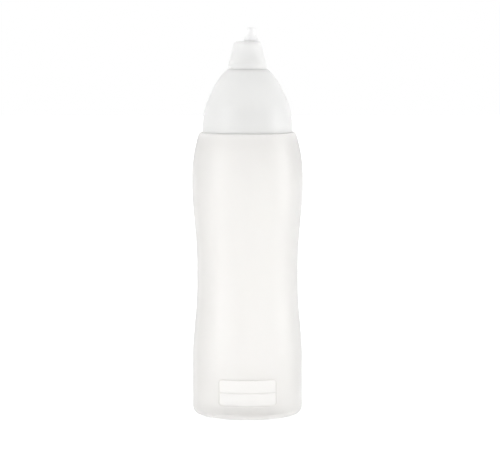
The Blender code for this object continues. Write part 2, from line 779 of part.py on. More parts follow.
# The lid and its gasket lift off the bottle, and the nozzle lifts its valve and tip off the lid
hold(bottle, gasket, lid)
hold(lid, valve, retainer, nozzle)
hold(nozzle, tip)
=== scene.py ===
# %% [markdown]
# # A squeeze sauce bottle, from frame to finish
#
# This lesson dresses a packed engineering model of a soft squeeze bottle: a blow-moulded body, a dome
# lid that screws on its neck, and a cone nozzle that screws on the lid and ends in a soft tip.
# The frame holds each piece at its real size and place. We load it first, and hang everything on it.

# %% Load the frame
import math
from collections import namedtuple

import bpy
import numpy as np
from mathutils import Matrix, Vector


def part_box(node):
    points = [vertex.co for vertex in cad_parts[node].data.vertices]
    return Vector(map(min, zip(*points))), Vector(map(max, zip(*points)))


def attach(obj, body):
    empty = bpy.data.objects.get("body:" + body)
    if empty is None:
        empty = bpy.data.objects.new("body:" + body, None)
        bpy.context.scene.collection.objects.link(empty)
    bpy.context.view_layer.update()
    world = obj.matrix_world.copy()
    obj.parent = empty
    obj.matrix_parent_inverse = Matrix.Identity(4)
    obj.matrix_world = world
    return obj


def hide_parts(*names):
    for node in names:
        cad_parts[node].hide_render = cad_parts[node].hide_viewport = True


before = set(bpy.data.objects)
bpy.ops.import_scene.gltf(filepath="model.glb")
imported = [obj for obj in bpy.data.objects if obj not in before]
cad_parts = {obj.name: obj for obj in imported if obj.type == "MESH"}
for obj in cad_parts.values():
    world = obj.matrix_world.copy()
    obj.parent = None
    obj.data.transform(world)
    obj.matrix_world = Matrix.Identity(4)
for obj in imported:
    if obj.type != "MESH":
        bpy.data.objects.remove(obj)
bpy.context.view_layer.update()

# %% [markdown]
# ## Where the pieces are
#
# The real bottle is measured with a caliper. Here each piece's box in the frame gives the same
# readings. Everything below is in millimetres, and one constant turns it into metres.

# %% Read the main sizes
MM = 0.001


def size_of(node):
    """Lowest height, highest height and widest radius of a piece, in millimetres."""
    low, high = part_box(node)
    return low.z / MM, high.z / MM, (high.x - low.x) / 2 / MM


_, NECK_TOP, BULGE_R = size_of("bottle")
LID_Z, SPOUT_TOP, LID_BASE_R = size_of("dome_lid")
NOZZLE_Z, NOZZLE_TOP_Z, NOZZLE_LIP_R = size_of("nozzle_cone")
TIP_LOW, TIP_TOP, TIP_FLARE_R = size_of("nozzle_tip")
GASKET_Z, GASKET_TOP, GASKET_R = size_of("lid_gasket")
RING_Z, RING_TOP, RING_R = size_of("valve_retainer")
VALVE_Z, VALVE_TOP, VALVE_R = size_of("valve")
tip_low, tip_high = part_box("nozzle_tip")
TIP_X = (tip_low.x + tip_high.x) / 2 / MM
print("neck top", round(NECK_TOP, 2), "lid from", round(LID_Z, 2), "tip off axis by", round(TIP_X, 2))

# %% [markdown]
# ## Profiles: the curves a mould maker turns
#
# Every piece here is round, so its mould is turned on a lathe from one profile. A profile could be
# a hand-placed list of points, but a mould maker thinks in stretches: a straight, a bend that leaves
# at one angle and arrives at another, a slow wave. Two helpers make those stretches, close enough
# together that the finished surface has no visible corners.

# %% Helpers for profiles
def bend(start, start_angle, end, end_angle, count):
    """A smooth curve of (radius, height) points. Angles: 0 outward, 90 up, 180 inward."""
    reach = math.dist(start, end) * 0.37
    a0, a1 = math.radians(start_angle), math.radians(end_angle)
    h0 = (start[0] + reach * math.cos(a0), start[1] + reach * math.sin(a0))
    h1 = (end[0] - reach * math.cos(a1), end[1] - reach * math.sin(a1))
    points = []
    for i in range(1, count + 1):
        t = i / count
        w = ((1 - t) ** 3, 3 * t * (1 - t) ** 2, 3 * t * t * (1 - t), t**3)
        points.append(tuple(w[0] * start[k] + w[1] * h0[k] + w[2] * h1[k] + w[3] * end[k] for k in (0, 1)))
    return points


def wave(r0, z0, r1, z1, count):
    """Half a cosine wave from one radius to another."""
    steps = [i / count for i in range(1, count + 1)]
    return [(r0 + (r1 - r0) * (1 - math.cos(math.pi * t)) / 2, z0 + (z1 - z0) * t) for t in steps]


def straight(start, end, count):
    """Evenly spaced points on a straight, so that a surface has rings enough to be shaped."""
    steps = [i / count for i in range(1, count + 1)]
    return [tuple(start[k] + (end[k] - start[k]) * t for k in (0, 1)) for t in steps]


def inset(path, gap):
    """The same path moved to its left by gap: the inside of a wall of even thickness."""
    points = np.array(path)
    along = np.diff(points, axis=0)
    along /= np.linalg.norm(along, axis=1, keepdims=True)
    normal = np.column_stack((-along[:, 1], along[:, 0]))
    before = np.vstack((normal[:1], normal))
    after = np.vstack((normal, normal[-1:]))
    share = gap / (1 + (before * after).sum(axis=1, keepdims=True))
    moved = points + (before + after) * share
    moved[:, 0] = np.maximum(moved[:, 0], 0.0)
    return [tuple(p) for p in moved]


def rounded(path, radius, steps=3):
    """The path with each sharp corner replaced by a small arc, as a real mould edge has."""
    result = [path[0]]
    for a, b, c in zip(path, path[1:], path[2:]):
        a, b, c = np.array(a), np.array(b), np.array(c)
        u, v = a - b, c - b
        lu, lv = np.linalg.norm(u), np.linalg.norm(v)
        turn = math.acos(max(-1.0, min(1.0, -float(u @ v) / (lu * lv))))
        if turn < math.radians(28):
            result.append(tuple(b))
            continue
        cut = min(radius, 0.45 * lu, 0.45 * lv)
        p, q = b + u / lu * cut, b + v / lv * cut
        for i in range(steps + 1):
            t = i / steps
            result.append(tuple((1 - t) ** 2 * p + 2 * t * (1 - t) * b + t * t * q))
    result.append(path[-1])
    return result


print("a bend of 3 points:", [tuple(round(v, 2) for v in p) for p in bend((0, 0), 0, (1, 1), 90, 3)])

# %% [markdown]
# ## Turning a profile, and pressing detail into it
#
# A Screw modifier would turn the profile, and Booleans could add threads and raised lines to it.
# That leaves thin, unevenly shaded faces round each join. Here the surface is a grid of rings and
# angles, and detail is pressed into the grid by moving its points, as a mould cavity is cut:
# a thread is a helical hump of the neck's own wall, with no seam where it begins.

# %% Turn a profile into a mesh
def even_angles(count):
    return [math.tau * i / count for i in range(count)]


def shade(mesh):
    """Smooth shading, with edges of more than 40 degrees kept crisp."""
    mesh.shade_smooth()
    mesh.set_sharp_from_angle(angle=math.radians(40))


def turned(name, profile, angles, press=None, closed=True, centre=(0.0, 0.0)):
    """A closed mesh from a profile that runs up its outer side, with press(r, z, angle) moving its points.

    press takes arrays and returns the new radius and height. A profile that starts and ends on the
    axis is closed there by one point each; any other profile closes on itself.
    """
    rings = np.array([p for p in profile if not (p[0] < 1e-6 and not closed)], float)
    r, angle = np.meshgrid(rings[:, 0], angles, indexing="ij")
    z = np.repeat(rings[:, 1:], len(angles), axis=1)
    if press:
        r, z = press(r, z, angle)
    points = np.stack((r * np.cos(angle) + centre[0], r * np.sin(angle) + centre[1], z), axis=-1)
    points = points.reshape(-1, 3)
    n, m = len(rings), len(angles)
    grid = np.arange(n * m).reshape(n, m)
    loops = np.vstack((grid, grid[:1])) if closed else grid
    a, b = loops[:-1], loops[1:]
    faces = np.stack((a, np.roll(a, -1, 1), np.roll(b, -1, 1), b), axis=-1).reshape(-1, 4).tolist()
    if not closed:
        low = (centre[0], centre[1], profile[0][1])
        high = (centre[0], centre[1], profile[-1][1])
        points = np.vstack((points, low, high))
        first, last = n * m, n * m + 1
        faces += [(first, int(grid[0, (j + 1) % m]), int(grid[0, j])) for j in range(m)]
        faces += [(last, int(grid[-1, j]), int(grid[-1, (j + 1) % m])) for j in range(m)]
    mesh = bpy.data.meshes.new(name)
    mesh.from_pydata((points * MM).tolist(), [], faces)
    shade(mesh)
    piece = bpy.data.objects.new(name, mesh)
    bpy.context.scene.collection.objects.link(piece)
    print(f"{name}: {len(mesh.vertices)} points, {len(mesh.polygons)} faces")
    return piece


def store(piece, name, values):
    """Keep one number per point on a mesh, for its material to read."""
    attribute = piece.data.attributes.new(name, "FLOAT", "POINT")
    attribute.data.foreach_set("value", np.asarray(values, np.float32))


def by_height(piece, heights, values):
    """A number at each point of a mesh, read off a list of heights in millimetres."""
    z = np.array([v.co.z for v in piece.data.vertices]) / MM
    return np.interp(z, heights, values)


def smooth_step(x, low, high):
    """0 below low, 1 above high, and an S-curve between."""
    t = np.clip((x - low) / (high - low), 0.0, 1.0)
    return t * t * (3 - 2 * t)


def ridge(distance, half_foot, half_top):
    """A rounded hump: 1 across its top, 0 outside its foot."""
    return 1 - smooth_step(np.abs(distance), half_top, half_foot)


# %% [markdown]
# ## Screw threads
#
# The lid and the neck share one coarse helix, and the nozzle and the spout share a finer one. A point
# on the wall is on the ridge when its height is near the helix's height at its angle, and the ridge
# fades out over a short arc at each end. The helix climbs anticlockwise, so both threads are right-handed.

# %% The two threads' sizes, in millimetres
Thread = namedtuple("Thread", "pitch depth root_w crest_w crest_gap")
LID_THREAD = Thread(pitch=5.0, depth=1.3, root_w=2.2, crest_w=0.9, crest_gap=0.5)
NOZZLE_THREAD = Thread(pitch=3.0, depth=1.1, root_w=1.5, crest_w=0.6, crest_gap=0.4)
THREAD_FLANK_GAP = 0.4
THREAD_FADE = 0.09
ON_WALL = 0.02
print("turns to lift the lid by 10 mm:", 10 / LID_THREAD.pitch)


# %% A thread pressed into a wall
def thread(r, z, angle, wall_r, form, start, low, high, inward=False):
    """Radius with a helical ridge added to the wall between two heights of the ridge's middle.

    start is the height of the helix at angle zero, on whichever of its turns.
    """
    first, last = (low - start) / form.pitch, (high - start) / form.pitch
    lifted = np.zeros_like(r)
    for lap in range(-1, math.ceil(last) + 1):
        turn = angle / math.tau + lap
        grow = smooth_step(turn, first, first + THREAD_FADE)
        grow *= 1 - smooth_step(turn, last - THREAD_FADE, last)
        from_middle = z - (start + form.pitch * turn)
        lifted = np.maximum(lifted, grow * ridge(from_middle, form.root_w / 2, form.crest_w / 2))
    depth = -form.depth if inward else form.depth
    return np.where(np.abs(r - wall_r) < ON_WALL, r + depth * lifted, r)


def thread_drop(form):
    """How far the thread in a bore lies under the one on its neck, flank to flank."""
    slope = (form.root_w - form.crest_w) / 2 / form.depth
    return (form.root_w + form.crest_w) / 2 - slope * form.crest_gap + THREAD_FLANK_GAP


# %% [markdown]
# ## The body
#
# The body is blown: a soft tube of polyethylene is caught between two mould halves and inflated, so
# the wall is thin and even, about a millimetre, and every edge is rounded. Its outline is two
# bulges with a waist for the hand. The foot is a narrow ring round a base that is pushed up, so
# that the bottle doesn't rock. The neck is thicker, because the mould squeezes it.

# %% The body's sizes
BODY_WALL = 1.0
BASE_R = BULGE_R - 0.25
WAIST_R = BULGE_R - 3.3
NECK_H = 12.7
BODY_H = NECK_TOP - NECK_H
NECK_ROOT_R = LID_BASE_R - 4.8
NECK_BORE_R = NECK_ROOT_R - 1.7
NECK_EDGE = 0.4
NECK_THREAD_LOW = BODY_H + 2.9
NECK_THREAD_HIGH = NECK_TOP - 2.3
FOOT_CORNER_W = 4.0
FOOT_CORNER_H = 4.5
FOOT_RING_W = 2.45
PUNT_H = 3.0
PUNT_FLAT_R = 8.0
PUNT_FALL = -22.0
LOWER_BULGE_END = 36.1
WAIST_LOW = 88.0
WAIST_HIGH = 101.9
UPPER_BULGE_Z = 158.1
SHOULDER_LEAN = 15.5
SHOULDER_LEDGE = 5.6
SHOULDER_CORNER_W = 2.2
SHOULDER_CORNER_H = 2.6
PANEL_W = 39.0
PANEL_LOW = 9.4
PANEL_HIGH = 27.7
PANEL_LINE = 0.9
PANEL_CORNER = 2.6
PANEL_RAISED = 0.25


# %% The body's outline
def body_outside(panel_rings):
    """From the middle of the base, over the foot and up the wall to the root of the neck."""
    ring_out = BASE_R - FOOT_CORNER_W
    ring_in = ring_out - FOOT_RING_W
    path = [(0.0, PUNT_H)]
    path += straight(path[-1], (PUNT_FLAT_R, PUNT_H), 4)
    path += bend(path[-1], 0, (ring_in, 0.0), PUNT_FALL, 10)
    path += straight(path[-1], (ring_out, 0.0), 2)
    path += bend(path[-1], 0, (BASE_R, FOOT_CORNER_H), 90, 12)
    path += straight(path[-1], (BASE_R, PANEL_HIGH + 1.0), panel_rings)
    path += straight(path[-1], (BASE_R, LOWER_BULGE_END), 2)
    path += wave(BASE_R, LOWER_BULGE_END, WAIST_R, WAIST_LOW, 20)
    path += straight(path[-1], (WAIST_R, WAIST_HIGH), 2)
    path += wave(WAIST_R, WAIST_HIGH, BULGE_R, UPPER_BULGE_Z, 20)
    edge = (NECK_ROOT_R + SHOULDER_LEDGE, BODY_H)
    corner = (edge[0] + SHOULDER_CORNER_W, BODY_H - SHOULDER_CORNER_H)
    path += bend(path[-1], 90, corner, 90 + SHOULDER_LEAN, 14)
    path += bend(corner, 90 + SHOULDER_LEAN, edge, 180, 8)
    path += straight(edge, (NECK_ROOT_R, BODY_H), 3)
    return path


def neck_outline():
    """Up the outside of the neck, over its lip and down into its bore."""
    path = straight((NECK_ROOT_R, BODY_H), (NECK_ROOT_R, NECK_TOP - NECK_EDGE), 54)
    path += bend(path[-1], 90, (NECK_ROOT_R - NECK_EDGE, NECK_TOP), 180, 3)
    path += straight(path[-1], (NECK_BORE_R + NECK_EDGE, NECK_TOP), 1)
    path += bend(path[-1], 180, (NECK_BORE_R, NECK_TOP - NECK_EDGE), 270, 3)
    return path


body_inside = inset(body_outside(4), BODY_WALL)
body_inside[0] = (0.0, PUNT_H + BODY_WALL)
body_inside[-1] = (NECK_BORE_R, BODY_H - BODY_WALL)
body_profile = body_outside(72) + neck_outline() + body_inside[::-1]
print("body profile:", len(body_profile), "points, shoulder at", round(BODY_H, 2), "mm")

# %% [markdown]
# ## What the mould leaves on the body
#
# Low on the front is a panel to write the sauce's name and date on: a raised outline with a rule
# across the middle, and a finely matted field that takes a marker. On the sides a fine line shows
# where the mould halves met, and under the base is the ridge where they pinched the tube shut. All
# three are part of the wall, so they are pressed into the grid too. The field's place is stored on
# the mesh for the material to use. So is the raised lines' place, for a painted shade that
# colours the lines a little darker.

# %% Panel, parting line and pinch-off
FIELD_FADE = 0.3
PARTING_W = 0.6
PARTING_DEPTH = 0.05
PINCH_LENGTH = 34.0
PINCH_W = 1.0
PINCH_CREST_W = 0.6
PINCH_DEPTH = 0.6


def rounded_box_distance(x, z, width, low, high, corner):
    """Distance from the edge of a rounded rectangle: negative inside, positive outside."""
    px = np.abs(x) - (width / 2 - corner)
    pz = np.abs(z - (low + high) / 2) - ((high - low) / 2 - corner)
    outer = np.hypot(np.maximum(px, 0), np.maximum(pz, 0))
    return outer + np.minimum(np.maximum(px, pz), 0) - corner


def panel_shapes(r, z, angle):
    """How much of the raised lines, and of the matted field, lies at each point of the front wall."""
    x = r * np.cos(angle)
    front = (np.sin(angle) < 0) & (np.abs(r - BASE_R) < ON_WALL)
    edge = rounded_box_distance(x, z, PANEL_W, PANEL_LOW, PANEL_HIGH, PANEL_CORNER)
    frame_line = ridge(edge + PANEL_LINE / 2, PANEL_LINE / 2, PANEL_LINE / 6)
    middle = (PANEL_LOW + PANEL_HIGH) / 2
    rule = ridge(z - middle, PANEL_LINE / 2, PANEL_LINE / 6) * (edge < -PANEL_LINE / 2)
    field = 1 - smooth_step(edge, -PANEL_LINE - FIELD_FADE, -PANEL_LINE)
    return np.maximum(frame_line, rule) * front, field * front * (1 - np.maximum(frame_line, rule))


def press_body(r, z, angle):
    lines, _ = panel_shapes(r, z, angle)
    x, y = r * np.cos(angle), r * np.sin(angle)
    under = (z <= PUNT_H + 0.01) & (r < BASE_R - FOOT_CORNER_W - FOOT_RING_W)
    outer_wall = (z > FOOT_CORNER_H) & (z < BODY_H - 4) & (r > WAIST_R - 0.2)
    parting = ridge(y, PARTING_W / 2, 0.08) * outer_wall
    pinch = ridge(y, PINCH_W / 2, PINCH_CREST_W / 2)
    pinch *= ridge(x, PINCH_LENGTH / 2, PINCH_LENGTH / 2 - 1) * under
    r_new = thread(
        r, z, angle, NECK_ROOT_R, LID_THREAD, NECK_THREAD_LOW, NECK_THREAD_LOW, NECK_THREAD_HIGH
    )
    return r_new + PANEL_RAISED * lines - PARTING_DEPTH * parting, z - PINCH_DEPTH * pinch


# %% Turn the body
def body_angles():
    """Even angles, with more where the panel's upright lines and the parting lines need them."""
    across = np.arange(PANEL_W / 2 - PANEL_CORNER - 0.3, PANEL_W / 2 + 0.6, 0.16)
    upright = [math.degrees(math.asin(x / BASE_R)) for x in across]
    close = [-90 + side * a for side in (-1, 1) for a in upright]
    close += [c + d for c in (0, 180) for d in (-0.5, -0.3, -0.12, 0.12, 0.3, 0.5)]
    even = [math.degrees(a) for a in even_angles(168)]
    return [math.radians(a) for a in sorted({round(a % 360, 3) for a in close + even})]


angles = body_angles()
body = turned("bottle_body", body_profile, angles, press_body, closed=False)
rings = np.array([p for p in body_profile if p[0] >= 1e-6])
r_grid, a_grid = np.meshgrid(rings[:, 0], angles, indexing="ij")
z_grid = np.repeat(rings[:, 1:], len(angles), axis=1)
# The raised lines' place is kept for the material's painted shade, which colours the lines a little darker.
painted_line_shade, matted = (np.append(a.ravel(), (0.0, 0.0)) for a in panel_shapes(r_grid, z_grid, a_grid))
# A blown wall is thicker, and so less clear, near the foot and at the shoulder's corner.
heights = (5.0, 10.0, 26.0, 150.0, BODY_H - 5.0, BODY_H - 1.5)
clear = by_height(body, heights, (0.78, 0.7, 0.81, 0.77, 0.76, 0.5))
store(body, "painted_line_shade", painted_line_shade)
store(body, "matted", matted)
store(body, "clear", clear * (1 - 0.3 * matted))
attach(body, "bottle")
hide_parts("bottle")

# %% [markdown]
# ## The dome lid
#
# The lid is injection moulded from white polyethylene, in one piece with its spout. Its skirt curves in
# slightly, then a soft edge marks where the dome begins. Inside, a straight bore carries the thread,
# a ledge presses the gasket on the neck's lip, and a small bead keeps the gasket from falling out.
# Outside and inside are drawn as one closed profile, so the wall's thickness is real at
# the edges that show when the lid is off.

# %% The lid's sizes
FIT = 0.3
LID_WALL = 1.7
LID_EDGE = 0.12
LID_LEAD_IN = 0.6
LID_FOOT_Z = BODY_H + 0.03
LID_BORE_R = LID_BASE_R - 3.0
LID_KINK = (LID_BASE_R - 2.3, LID_Z + 18.2)
LID_TOP_Z = SPOUT_TOP - 5.7
LID_TOP_R = NOZZLE_LIP_R + 0.45
LID_BROW = (LID_TOP_R + 0.6, LID_TOP_Z - 0.55)
LEDGE_Z = GASKET_TOP + FIT
LEDGE_R = GASKET_R - 2.1
GASKET_BEAD = 0.65
GASKET_BEAD_H = 0.9
LID_THREAD_LOW = LID_Z + 2.05
LID_THREAD_HIGH = GASKET_Z - FIT - GASKET_BEAD_H - 2.85
SPOUT_BORE_R = 6.4
SPOUT_ROOT_R = 8.5
SPOUT_EDGE = 0.3
SPOUT_THREAD_LOW = LID_TOP_Z + 1.3
SPOUT_THREAD_HIGH = SPOUT_TOP - 1.25
print("lid", round(2 * LID_BASE_R, 1), "mm wide, dome top at", round(LID_TOP_Z, 1), "mm")


# %% The lid's profile
def lid_outside():
    path = [(LID_BASE_R - LID_EDGE, LID_FOOT_Z)]
    path += bend(path[-1], 0, (LID_BASE_R, LID_FOOT_Z + LID_EDGE), 90, 3)
    before = (LID_KINK[0] + 0.52, LID_KINK[1] - 2.2)
    after = (LID_KINK[0] - 1.02, LID_KINK[1] + 2.3)
    path += bend(path[-1], 90, before, 103, 18)
    path += bend(before, 103, after, 114, 6)
    path += bend(path[-1], 114, LID_BROW, 138, 24)
    path += bend(LID_BROW, 138, (LID_TOP_R - 0.2, LID_TOP_Z), 180, 5)
    path += straight(path[-1], (SPOUT_ROOT_R + SPOUT_EDGE, LID_TOP_Z), 3)
    path += bend(path[-1], 180, (SPOUT_ROOT_R, LID_TOP_Z + SPOUT_EDGE), 90, 3)
    path += straight(path[-1], (SPOUT_ROOT_R, SPOUT_TOP - SPOUT_EDGE), 26)
    path += bend(path[-1], 90, (SPOUT_ROOT_R - SPOUT_EDGE, SPOUT_TOP), 180, 3)
    path += bend((SPOUT_BORE_R + SPOUT_EDGE, SPOUT_TOP), 180, (SPOUT_BORE_R, SPOUT_TOP - SPOUT_EDGE), 270, 3)
    return path


def lid_inside():
    """Down the spout's bore, along the inside of the dome, over the ledge and down the skirt."""
    across = math.radians(138 - 90)
    brow = (LID_BROW[0] - LID_WALL * math.sin(across), LID_BROW[1] - LID_WALL * math.cos(across))
    foot = (LEDGE_R, LID_KINK[1] + 2.6)
    bead_top = GASKET_Z - FIT
    path = [(SPOUT_BORE_R, LID_TOP_Z - LID_WALL + SPOUT_EDGE)]
    path += bend(path[-1], 270, (SPOUT_BORE_R + SPOUT_EDGE, LID_TOP_Z - LID_WALL), 360, 2)
    path += straight(path[-1], (brow[0] - 0.6, LID_TOP_Z - LID_WALL), 2)
    path += bend(path[-1], 0, brow, -42, 3)
    path += bend(brow, -42, foot, -67, 20)
    path += straight(foot, (LEDGE_R, LEDGE_Z), 3)
    path += straight(path[-1], (LID_BORE_R, LEDGE_Z), 2)
    path += straight(path[-1], (LID_BORE_R, bead_top), 1)
    path += bend(path[-1], 180, (LID_BORE_R - GASKET_BEAD, bead_top - GASKET_BEAD_H / 3), 270, 3)
    path += bend(path[-1], 270, (LID_BORE_R, bead_top - GASKET_BEAD_H), 330, 3)
    path += straight(path[-1], (LID_BORE_R, LID_Z + LID_LEAD_IN), 50)
    path += bend(path[-1], 270, (LID_BORE_R + LID_LEAD_IN, LID_FOOT_Z), 330, 3)
    return path


# %% Turn the lid, with a thread in its skirt and another on its spout
def press_lid(r, z, angle):
    start = NECK_THREAD_LOW - thread_drop(LID_THREAD)
    r = thread(r, z, angle, LID_BORE_R, LID_THREAD, start, LID_THREAD_LOW, LID_THREAD_HIGH, inward=True)
    r = thread(
        r, z, angle, SPOUT_ROOT_R, NOZZLE_THREAD, SPOUT_THREAD_LOW, SPOUT_THREAD_LOW, SPOUT_THREAD_HIGH
    )
    return r, z


lid = turned("dome_lid_shell", lid_outside() + lid_inside(), even_angles(160), press_lid)
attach(lid, "lid")
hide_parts("dome_lid")

# %% [markdown]
# ## The soft seals
#
# The gasket is a die-cut ring of silicone. The valve is a moulded silicone cup with a dished head and a
# cross slit: it stays shut under the sauce's weight and opens when the bottle is squeezed. A hard
# ring, snapped into the nozzle, holds the valve's flange. The slit is the one detail here that a turned grid
# can't carry, so it is cut with a Boolean.

# %% Gasket and retaining ring
GASKET_W = 2.8
GASKET_EDGE = 0.2
RING_BORE_R = SPOUT_BORE_R + 0.2
RING_EDGE = 0.3


def ring_profile(inner_r, outer_r, low, high, edge):
    """A ring's rounded section, run up its outer side."""
    path = rounded(
        [(inner_r, (low + high) / 2), (inner_r, low), (outer_r, low), (outer_r, high), (inner_r, high),
         (inner_r, (low + high) / 2)],
        edge,
    )
    return path[:-1]


gasket_section = ring_profile(GASKET_R - GASKET_W, GASKET_R, GASKET_Z, GASKET_TOP, GASKET_EDGE)
gasket = turned("gasket_ring", gasket_section, even_angles(120))
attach(gasket, "gasket")
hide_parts("lid_gasket")

retainer_section = ring_profile(RING_BORE_R, RING_R, RING_Z, RING_TOP, RING_EDGE)
retainer = turned("snap_ring", retainer_section, even_angles(96))
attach(retainer, "valve")
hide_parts("valve_retainer")

# %% A cutter, and a Boolean that is applied at once
def cut(piece, cutter):
    step = piece.modifiers.new("cut", "BOOLEAN")
    step.operation = "DIFFERENCE"
    step.solver = "EXACT"
    step.object = cutter
    bpy.context.view_layer.update()
    evaluated = piece.evaluated_get(bpy.context.evaluated_depsgraph_get())
    mesh = bpy.data.meshes.new_from_object(evaluated)
    piece.modifiers.clear()
    piece.data = mesh
    shade(mesh)
    bpy.data.objects.remove(cutter)


# %% The cross-slit valve
VALVE_FLANGE_T = 1.2
VALVE_WALL = 0.8
VALVE_IN_R = SPOUT_BORE_R + 0.2
VALVE_OUT_R = VALVE_IN_R + VALVE_WALL
VALVE_DISH = 1.4
SLIT_W = 0.35
SLIT_LENGTH = 8.4
SLIT_H = 3.4


def valve_profile():
    flange = VALVE_Z + VALVE_FLANGE_T
    centre = VALVE_TOP - VALVE_DISH
    path = [(0.0, centre - VALVE_WALL)]
    path += bend(path[-1], 0, (VALVE_IN_R - 0.6, VALVE_TOP - 1.5), 22, 8)
    path += bend(path[-1], 22, (VALVE_IN_R, VALVE_TOP - 2.0), 270, 3)
    path += straight(path[-1], (VALVE_IN_R, VALVE_Z), 2)
    path += rounded([path[-1], (VALVE_R, VALVE_Z), (VALVE_R, flange), (VALVE_OUT_R, flange)], 0.25)[1:]
    path += straight(path[-1], (VALVE_OUT_R, VALVE_TOP - 0.8), 3)
    path += bend(path[-1], 90, (VALVE_OUT_R - 1.0, VALVE_TOP), 180, 4)
    path += bend(path[-1], 200, (0.0, centre), 180, 10)
    return path


valve = turned("slit_valve", valve_profile(), even_angles(96), closed=False)
for quarter in (45, 135):
    bpy.ops.mesh.primitive_cube_add(size=MM, location=(0, 0, (VALVE_TOP - VALVE_DISH) * MM))
    blade = bpy.context.object
    blade.scale = (SLIT_LENGTH, SLIT_W, SLIT_H)
    blade.rotation_euler = (0, 0, math.radians(quarter))
    cut(valve, blade)
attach(valve, "valve")
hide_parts("valve")
print("valve faces after the slits:", len(valve.data.polygons))

# %% [markdown]
# ## The cone nozzle
#
# The nozzle is a small white moulding with a rounded lip at its foot, which gives the fingers a grip.
# Its taper, its lip and the soft shoulder at its top all come from the profile. The hole for the tip is
# off the axis, so it is drilled with a Boolean: the soft tip's flanges hide its edge.

# %% The nozzle's sizes
NOZZLE_BORE_R = NOZZLE_LIP_R - 3.05
NOZZLE_FOOT_R = NOZZLE_LIP_R - 0.25
NOZZLE_FOOT_Z = LID_TOP_Z + 0.02
NOZZLE_TOP_R = TIP_X + TIP_FLARE_R + 0.2
NOZZLE_TOP_WALL = 1.7
CAVITY_R = VALVE_OUT_R + 0.5
CAVITY_TOP_R = TIP_X + 4.8
TIP_STEM_R = 3.1
SNAP_BEAD = 0.5
SNAP_BEAD_H = 0.7
NOZZLE_LEAD_IN = 0.4
NOZZLE_THREAD_LOW = NOZZLE_Z + 0.92
NOZZLE_THREAD_HIGH = RING_Z - FIT - SNAP_BEAD_H - 1.34
print("nozzle wall at the bore:", round(NOZZLE_LIP_R - NOZZLE_BORE_R, 2), "mm")


# %% The nozzle's profile
def nozzle_outside():
    lip_top = (NOZZLE_LIP_R - 0.3, NOZZLE_Z + 3.2)
    cone_top = (NOZZLE_TOP_R + 2.4, NOZZLE_TOP_Z - 4.8)
    taper = math.degrees(math.atan2(lip_top[0] - cone_top[0], cone_top[1] - lip_top[1]))
    path = [(NOZZLE_FOOT_R - 0.15, NOZZLE_FOOT_Z)]
    path += bend(path[-1], 0, (NOZZLE_FOOT_R, NOZZLE_FOOT_Z + 0.15), 80, 3)
    path += bend(path[-1], 80, (NOZZLE_LIP_R, NOZZLE_Z + 1.92), 90, 7)
    path += bend(path[-1], 90, lip_top, 120, 6)
    path += bend(lip_top, 112, (lip_top[0] - 0.35, lip_top[1] + 1.0), 90 + taper, 3)
    path += straight(path[-1], cone_top, 8)
    path += bend(cone_top, 90 + taper, (NOZZLE_TOP_R, NOZZLE_TOP_Z - 0.15), 168, 12)
    path += straight(path[-1], (0.0, NOZZLE_TOP_Z), 5)
    return path


def nozzle_inside():
    """From the middle of the cavity's roof, out and down to the mouth of the bore."""
    roof = NOZZLE_TOP_Z - NOZZLE_TOP_WALL
    ledge = VALVE_Z + VALVE_FLANGE_T + FIT
    bead = RING_Z - FIT
    path = [(0.0, roof)] + straight((0.0, roof), (CAVITY_TOP_R - 0.3, roof), 3)
    path += bend(path[-1], 0, (CAVITY_TOP_R, roof - 0.3), 270, 3)
    path += straight(path[-1], (CAVITY_R, VALVE_TOP + FIT), 3)
    path += straight(path[-1], (CAVITY_R, ledge), 2)
    path += straight(path[-1], (NOZZLE_BORE_R, ledge), 2)
    path += straight(path[-1], (NOZZLE_BORE_R, bead), 2)
    path += bend(path[-1], 210, (NOZZLE_BORE_R - SNAP_BEAD, bead - SNAP_BEAD_H / 2), 270, 3)
    path += bend(path[-1], 270, (NOZZLE_BORE_R, bead - SNAP_BEAD_H), 330, 3)
    path += straight(path[-1], (NOZZLE_BORE_R, NOZZLE_Z + NOZZLE_LEAD_IN), 26)
    path += bend(path[-1], 270, (NOZZLE_BORE_R + NOZZLE_LEAD_IN, LID_TOP_Z + 0.05), 330, 3)
    return path


# %% Turn the nozzle, thread its bore and drill its top
def press_nozzle(r, z, angle):
    start = SPOUT_THREAD_LOW - thread_drop(NOZZLE_THREAD)
    r = thread(
        r, z, angle, NOZZLE_BORE_R, NOZZLE_THREAD, start, NOZZLE_THREAD_LOW, NOZZLE_THREAD_HIGH, inward=True
    )
    return r, z


nozzle = turned(
    "nozzle_cone_shell", nozzle_inside() + nozzle_outside(), even_angles(128), press_nozzle, closed=False
)
bpy.ops.mesh.primitive_cylinder_add(
    vertices=64, radius=(TIP_STEM_R + FIT) * MM, depth=8 * MM, location=(TIP_X * MM, 0, NOZZLE_TOP_Z * MM)
)
cut(nozzle, bpy.context.object)
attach(nozzle, "nozzle")
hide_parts("nozzle_cone")

# %% [markdown]
# ## The soft tip
#
# The tip is moulded in clear silicone and buttoned through the hole: a flange inside, a groove
# for the nozzle's top, and a flared foot outside that sweeps up into the slim spout. Silicone
# edges are never sharp, so every corner of its profile is rounded.

# %% The tip
TIP_BORE_R = 1.1
TIP_FLANGE_R = 4.4
TIP_FLARE_EDGE = 0.3
TIP_FLARE_H = 6.3
TIP_SHAFT_R = 3.15
TIP_END_R = 2.9
TIP_END_ROUND = 0.9


